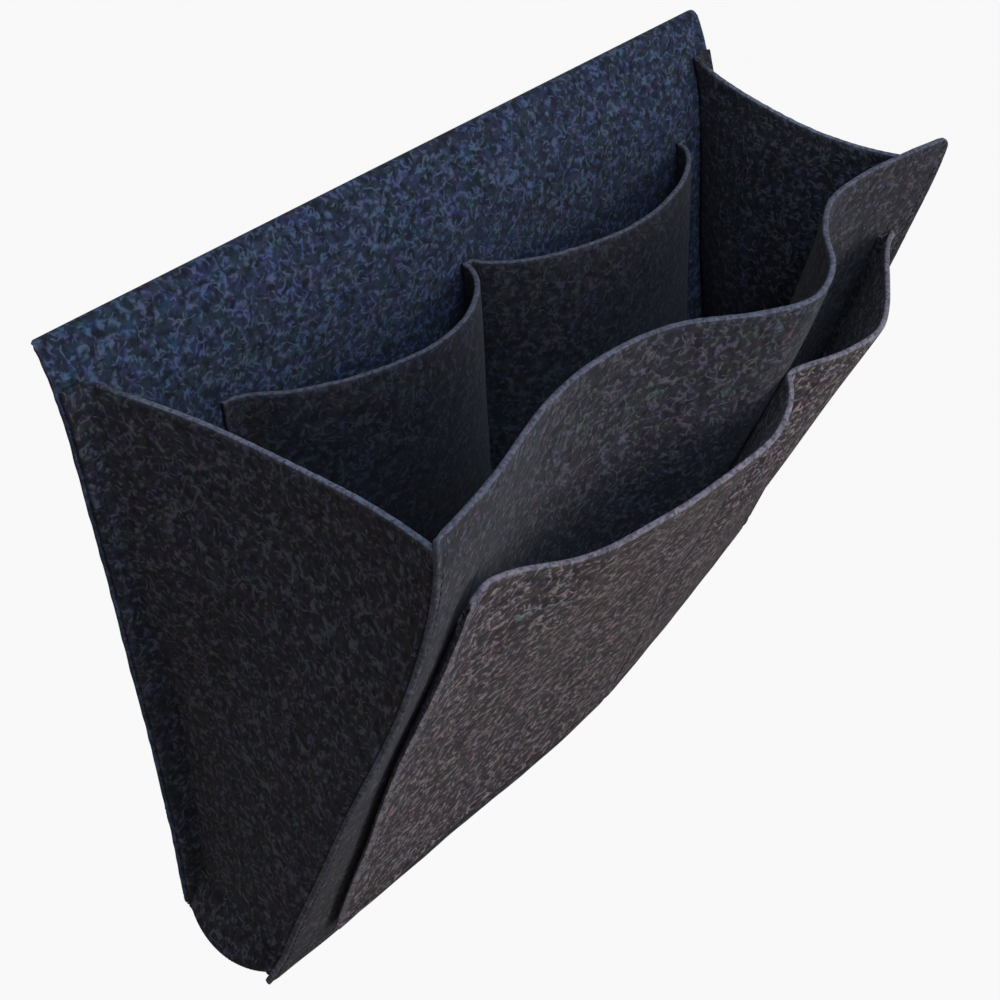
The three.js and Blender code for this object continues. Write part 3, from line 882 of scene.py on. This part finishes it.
def allowance_at(g, z):
    """Width of a gusset's seam allowance on the back panel."""
    (a, one, long), (b, other, short) = ALLOWANCE_WAVES
    wobble = a * math.exp(-(((z + one) / long) ** 2)) + b * math.exp(-(((z + other) / short) ** 2))
    return BACK_ALLOWANCE - g["wide"] * flare_at(z) + g["wobble"] * wobble


def wall_line(g, z, share):
    """A gusset's wall at height z, from the back panel at share 0 to the front panel at 1."""
    rise, across = gusset_rise(z), 4 * share * (1 - share)
    lip = flare_at(z) * flare_form(share)
    back_fold = back_point(g["side"] * (HALF_WIDTH - allowance_at(g, z)), z, LAYER)
    front_fold = front_point(g["corner"], front_height(g, z), -LAYER)
    wall = lerp(back_fold, front_fold, share[:, None])
    wall[:, 0] -= g["side"] * (lerp(g["base"], g["top"], rise) * across - g["out"] * lip)
    wall[:, 2] -= g["sag"] * rise**2 * across + g["down"] * lip
    return wall


def gusset_grid(g):
    low, high = spaced(HEM, FLARE_TOP, FLARE_CELL), spaced(FLARE_TOP, -GUSSET_DROP)[1:]
    wall_share = np.linspace(0, 1, WALL_STEPS)
    back_seam, front_width = BACK_ALLOWANCE / 2, abs(g["corner"] - g["edge"]) * FRONT_WIDTH
    back_share = spaced(0, BACK_ALLOWANCE, close=(back_seam,))[:-1] / BACK_ALLOWANCE
    front_share = spaced(0, front_width - FRONT_CLEARANCE, close=(front_width / 2,))[1:]
    front_share = front_share / front_width
    rows = []
    for z in np.concatenate([low, high]):
        wall = wall_line(g, z, wall_share)
        inset = BACK_CLEARANCE * min(1, allowance_at(g, z) / NARROW_ALLOWANCE)
        back_end = back_point(g["side"] * (HALF_WIDTH - inset), z, LAYER)
        front_end = front_point(g["edge"], front_height(g, z), -LAYER)
        one = lerp(back_end, wall[0], back_share[:, None])
        two = lerp(wall[-1], front_end, front_share[:, None])
        rows.append(np.concatenate([one, wall, two]))
    depth = np.concatenate([
        line_depth(back_share * BACK_ALLOWANCE - back_seam), np.zeros(WALL_STEPS),
        line_depth((front_share - 0.5) * front_width),
    ])
    # The rim is dark where it is sewn to the back panel and paler on the front one
    near_back, near_front = 0 * back_share, 0.3 + 0 * front_share
    pale = np.concatenate([near_back, smoothstep(wall_share, 0.01, 0.18), near_front])
    grid = np.array(rows)
    if g["side"] < 0:
        grid, depth, pale = grid[:, ::-1], depth[::-1], pale[::-1]
    return soften(grid, GUSSET_FOLD_ROUND), np.broadcast_to(depth, grid.shape[:2]), pale


left_grid, left_groove, left_pale = gusset_grid(LEFT)
round_corner(left_grid, 0, 0, GUSSET_CORNER)
right_grid, right_groove, right_pale = gusset_grid(RIGHT)
HIDDEN_EDGES = {"left": 0.0, "right": 0.0, "bottom": 0.1, "top": 0.1}
left_sheet = felt_sheet(
    "left_gusset_sheet", left_grid, "bag", ["left_gusset"], BODY, groove=left_groove,
    pale={**HIDDEN_EDGES, "top": left_pale},
)
right_sheet = felt_sheet(
    "right_gusset_sheet", right_grid, "bag", ["right_gusset"], BODY, groove=right_groove,
    pale={**HIDDEN_EDGES, "top": right_pale},
)


# Base strip
def base_grid():
    level = HEM + BASE_ALLOWANCE
    left_end = -HALF_WIDTH + BACK_ALLOWANCE + HALF + BASE_END_GAP
    right_end = HALF_WIDTH - BACK_ALLOWANCE - RIGHT["base"] - HALF - BASE_END_GAP
    first = (left_end - base_at(np.array(0.0))[0]) / FRONT_WIDTH
    last = 1.0
    while base_at(np.array(last))[0] > right_end:
        last -= SLOPE_STEP / FRONT_WIDTH
    u = share_stations(first, last)
    near_left = np.clip(1 - (u - first) * FRONT_WIDTH / BASE_END_RUN, 0, 1)
    near_right = np.clip(1 - (last - u) * FRONT_WIDTH / BASE_END_RUN, 0, 1)

    def reach(line, share):
        """How far a line of the strip moves along X to meet the gussets' walls at its ends."""
        share = np.array([1.0 - share])
        left = wall_line(LEFT, level, share)[0, 0] + HALF + BASE_END_GAP - line[0, 0]
        right = wall_line(RIGHT, level, share)[0, 0] - HALF - BASE_END_GAP - line[-1, 0]
        return left * near_left + right * near_right

    moved = u + reach(front_point(u, level, -LAYER), 0) / FRONT_WIDTH
    high = front_point(moved, level, -LAYER)
    allowance = spaced(HEM, level, close=(BASE_SEAM,))[:-1]
    rows = [front_point(moved, z, -LAYER) for z in allowance]
    back_high = back_point(high[:, 0], level, LAYER)
    back_high[:, 0] += reach(back_high, 1)
    for share in np.linspace(0, 1, BASE_STEPS):
        line = lerp(high, back_high, share)
        line[:, 0] += reach(line, share)
        rows.append(line)
    rows += [back_point(back_high[:, 0], z, LAYER) for z in allowance[::-1]]
    grid = np.array(rows).transpose(1, 0, 2)
    depth = line_depth(allowance - BASE_SEAM)
    depth = np.concatenate([depth, np.zeros(BASE_STEPS), depth[::-1]])
    return soften(grid, BASE_FOLD_ROUND), np.broadcast_to(depth, grid.shape[:2]), first, last


strip_grid, strip_groove, base_first, base_last = base_grid()
base_sheet = felt_sheet(
    "base_sheet", strip_grid, "bag", ["base_strip"], BODY, groove=strip_groove, pale=HIDDEN_EDGES,
)


# Inner pockets
def inner_pocket_grid():
    half = INNER_SEAM_WIDTH / 2
    x, form = [INNER_SEAMS[0] - half], [0.0]
    # The left pocket swells towards its right and starts more gently
    for left_seam, right_seam, skew, start in zip(
        INNER_SEAMS, INNER_SEAMS[1:], INNER_SKEWS, INNER_START_ROUNDS
    ):
        share = (1 - np.cos(np.pi * np.linspace(0, 1, INNER_STEPS))) / 2
        roundness = lerp(start, INNER_ROUND, smoothstep(share, 0, INNER_START_RUN))
        x += [left_seam + d for d in INNER_SEAM_LINES]
        x += list(lerp(left_seam + half, right_seam - half, share))
        form += [0.0] * len(INNER_SEAM_LINES) + list(swell(share, skew, roundness))
    ends = [INNER_SEAMS[2] + d for d in INNER_SEAM_LINES + (half,)]
    x, form = np.array(x + ends)[None, :], np.array(form + [0.0] * len(ends))[None, :]
    length = INNER_RIM - INNER_FOOT
    rise = spaced(0, length, close=(HEM_SEAM,))[:, None] / length
    z = lerp(INNER_FOOT, INNER_RIM, rise)
    grid = back_point(x, z, LAYER)
    grid[..., 1] -= INNER_SWELL * form * (1 - (1 - rise) ** INNER_FILL)
    depth = line_depth(*[x - seam + 0 * z for seam in INNER_SEAMS], z - INNER_HEM_SEAM + 0 * x)
    return soften(grid, INNER_FOLD_ROUND), depth


inner_grid, inner_groove = inner_pocket_grid()
inner_sheet = felt_sheet(
    "inner_pocket_sheet", inner_grid, "bag", ["inner_pockets"], INNER, groove=inner_groove,
    pale={"top": 1.0, "left": 0.3},
)

# Stitches, 2.6 mm long, lying in the grooves on both faces of each seam. A stitch is a thread
# of six sides with sections at these places along it: distance, radius and height.
STITCH = [
    (-1.3, 0.02, -0.28), (-0.95, 0.24, -0.12), (0.0, 0.30, 0.06), (0.95, 0.24, -0.12),
    (1.3, 0.02, -0.28),
]
THREAD_SIDES = 6
SEAM_STEPS = 600
thread_points, thread_faces = [], []


def sew(surface, first, second, lift, side):
    """Stitches on a surface from one place to another, at lift from its middle."""
    a, b = (np.linspace(first[k], second[k], SEAM_STEPS) for k in (0, 1))
    lift = np.broadcast_to(lift, a.shape)
    path = sway(surface(a, b, lift))
    proud = unit(sway(surface(a, b, lift + side)) - path)
    run = np.concatenate([[0], np.cumsum(np.linalg.norm(np.diff(path, axis=0), axis=1))])

    def at(s, line):
        return np.array([np.interp(s, run, line[:, m]) for m in range(3)])

    count = int((run[-1] - STITCH_ROOM) / STITCH_PITCH)
    for k in range(count):
        middle = run[-1] / 2 + (k - (count - 1) / 2) * STITCH_PITCH
        over = unit(at(middle, proud))
        ahead = unit(at(middle + SLOPE_STEP, path) - at(middle - SLOPE_STEP, path))
        aside = np.cross(over, ahead)
        start = len(thread_points)
        for along, radius, height in STITCH:
            sunk = height - SEAM_DEPTH * STITCH_SUNK
            centre = at(middle, path) + ahead * along + over * sunk
            for turn in range(THREAD_SIDES):
                angle = turn * 2 * math.pi / THREAD_SIDES
                round_it = aside * math.cos(angle) + over * math.sin(angle)
                thread_points.append(centre + round_it * radius)
        for r in range(len(STITCH) - 1):
            for turn in range(THREAD_SIDES):
                p = start + r * THREAD_SIDES + turn
                q = start + r * THREAD_SIDES + (turn + 1) % THREAD_SIDES
                thread_faces.append((p, q, q + THREAD_SIDES, p + THREAD_SIDES))
        thread_faces.append(tuple(start + t for t in range(THREAD_SIDES))[::-1])
        last = start + (len(STITCH) - 1) * THREAD_SIDES
        thread_faces.append(tuple(last + t for t in range(THREAD_SIDES)))


ON_BACK = ((LAYER + HALF, 1), (-HALF, -1))
ON_FRONT = ((HALF, 1), (-LAYER - HALF, -1))
top_z = -GUSSET_DROP - SEAM_END
for x, low in ((-BACK_SEAM, FLARE_TOP), (BACK_SEAM, HEM + SEAM_END)):
    for lift, side in ON_BACK:
        sew(back_point, (x, low), (x, top_z), lift, side)
base_ends = base_at(np.array([base_first, base_last]))[:, 0] + np.array([SEAM_END, -SEAM_END])
for lift, side in ON_BACK:
    sew(back_point, (base_ends[0], BASE_SEAM), (base_ends[1], BASE_SEAM), lift, side)
for x in INNER_SEAMS:
    for lift, side in ON_BACK:
        sew(back_point, (x, INNER_HEM_SEAM + SEAM_END), (x, INNER_RIM - RIM_END), lift, side)
for one, other in zip(INNER_SEAMS, INNER_SEAMS[1:]):
    for lift, side in ON_BACK:
        ends = (one + RIM_END, INNER_HEM_SEAM), (other - RIM_END, INNER_HEM_SEAM)
        sew(back_point, *ends, lift, side)
for u, g in zip(FRONT_SEAMS, (LEFT, RIGHT)):
    high = rim_height(u) - g["step"] - SEAM_END
    for lift, side in ON_FRONT:
        sew(front_point, (u, HEM + SEAM_END), (u, high), lift, side)
for lift, side in ON_FRONT:
    ends = (base_first + BASE_END_SHARE, BASE_SEAM), (base_last - BASE_END_SHARE, BASE_SEAM)
    sew(front_point, *ends, lift, side)
for k, u in enumerate(OUTER_SEAMS):
    low = outer_hem(u) + HEM_SEAM + SEAM_END
    high = outer_rim(u) - (TUCKED_RIM_END if k == 0 else RIM_END)
    if k:
        sew(front_point, (u, low), (u, high), LAYER + HALF, 1)
    sew(front_point, (u, low), (u, high), -HALF, -1)
for start, end, lift in (
    (outer_start + SEAM_END / FRONT_WIDTH, OUTER_MIDDLE - RIM_END / FRONT_WIDTH,
     LAYER * (2 - np.linspace(HEM_START_SHARE, 1, SEAM_STEPS)) + HALF),
    (OUTER_MIDDLE + RIM_END / FRONT_WIDTH, right_flange_end - RIM_END / FRONT_WIDTH, LAYER + HALF),
):
    ends = [(u, outer_hem(u) + HEM_SEAM) for u in (start, end)]
    sew(front_point, *ends, lift, 1)
make_piece(
    "seam_stitches", np.array(thread_points), thread_faces, np.zeros(len(thread_points)),
    "bag", None, THREAD,
)


# Studio
def plain(name, code, seen):
    """Matt painted board. Where the camera sees it, it is lifted towards white by seen."""
    material, tree = new_material(name)
    board = add(tree, "BsdfDiffuse", {"Color": linear(code)})
    light = add(tree, "Emission", {"Color": (1, 1, 1, 1), "Strength": 1.0})
    path = add(tree, "LightPath").outputs["Is Camera Ray"]
    share = add(tree, "Math", {"operation": "MULTIPLY", 1: seen}, {0: path})
    both = add(tree, "MixShader", {}, {0: share, 1: board, 2: light})
    add(tree, "OutputMaterial", links={"Surface": both})
    return material


bpy.ops.mesh.primitive_plane_add(size=9, location=(0, 0, -0.62))
floor = bpy.context.object
floor.name = "studio_floor"
floor.data.materials.append(plain("pale_floor_board", "#7c7c7c", 0.94))

world = bpy.data.worlds.new("studio")
bpy.context.scene.world = world
world.use_nodes = True
world.node_tree.nodes.clear()
seen_sky = add(world.node_tree, "LightPath").outputs["Is Camera Ray"]
around = add(world.node_tree, "Background", {"Color": linear("#e8e6ea"), "Strength": 0.24})
behind = add(world.node_tree, "Background", {"Color": (1, 1, 1, 1), "Strength": 1.0})
sky = add(world.node_tree, "MixShader", {}, {0: seen_sky, 1: around, 2: behind})
add(world.node_tree, "OutputWorld", links={"Surface": sky})


def soft_box(name, place, aim, size, power, code):
    lamp = bpy.data.lights.new(name, "AREA")
    lamp.shape = "DISK"
    lamp.size = size
    lamp.energy = power
    lamp.color = linear(code)[:3]
    box = bpy.data.objects.new(name, lamp)
    bpy.context.scene.collection.objects.link(box)
    box.location = place
    box.rotation_mode = "QUATERNION"
    box.rotation_quaternion = (Vector(aim) - Vector(place)).to_track_quat("-Z", "Y")


soft_box("key_light", (0.12, -0.85, 0.15), (0, -0.08, -0.12), 0.5, 4.1, "#fff1e8")
soft_box("top_light", (-0.1, -0.5, 0.48), (0, -0.06, -0.1), 0.35, 2.1, "#cfe0ff")
soft_box("side_light", (-0.9, -0.2, -0.1), (-0.16, -0.09, -0.12), 0.35, 0.6, "#ffeae2")

# Camera at the photograph's viewing angle
camera_data = bpy.data.cameras.new("camera")
camera = bpy.data.objects.new("camera", camera_data)
bpy.context.scene.collection.objects.link(camera)
azimuth, elevation, roll = math.radians(-47.1), math.radians(35.1), math.radians(-3.8)
distance = 0.7
away = Vector((
    math.sin(azimuth) * math.cos(elevation), -math.cos(azimuth) * math.cos(elevation),
    math.sin(elevation),
))
level = (-away).cross(Vector((0, 0, 1))).normalized()
upright = level.cross(-away)
right = level * math.cos(roll) + upright * math.sin(roll)
upward = upright * math.cos(roll) - level * math.sin(roll)
target = Vector((0, -0.06 + INNER_FACE * 0.001, -0.12))
turned = Matrix((right, upward, away)).transposed().to_4x4()
camera.matrix_world = Matrix.Translation(target + away * distance) @ turned
camera_data.sensor_width = 36
camera_data.lens = 67.09
camera_data.shift_x = -0.0773
camera_data.shift_y = -0.0048
camera_data.clip_start = 0.01
camera_data.clip_end = 30
bpy.context.scene.camera = camera

bpy.context.scene.view_settings.view_transform = "Standard"
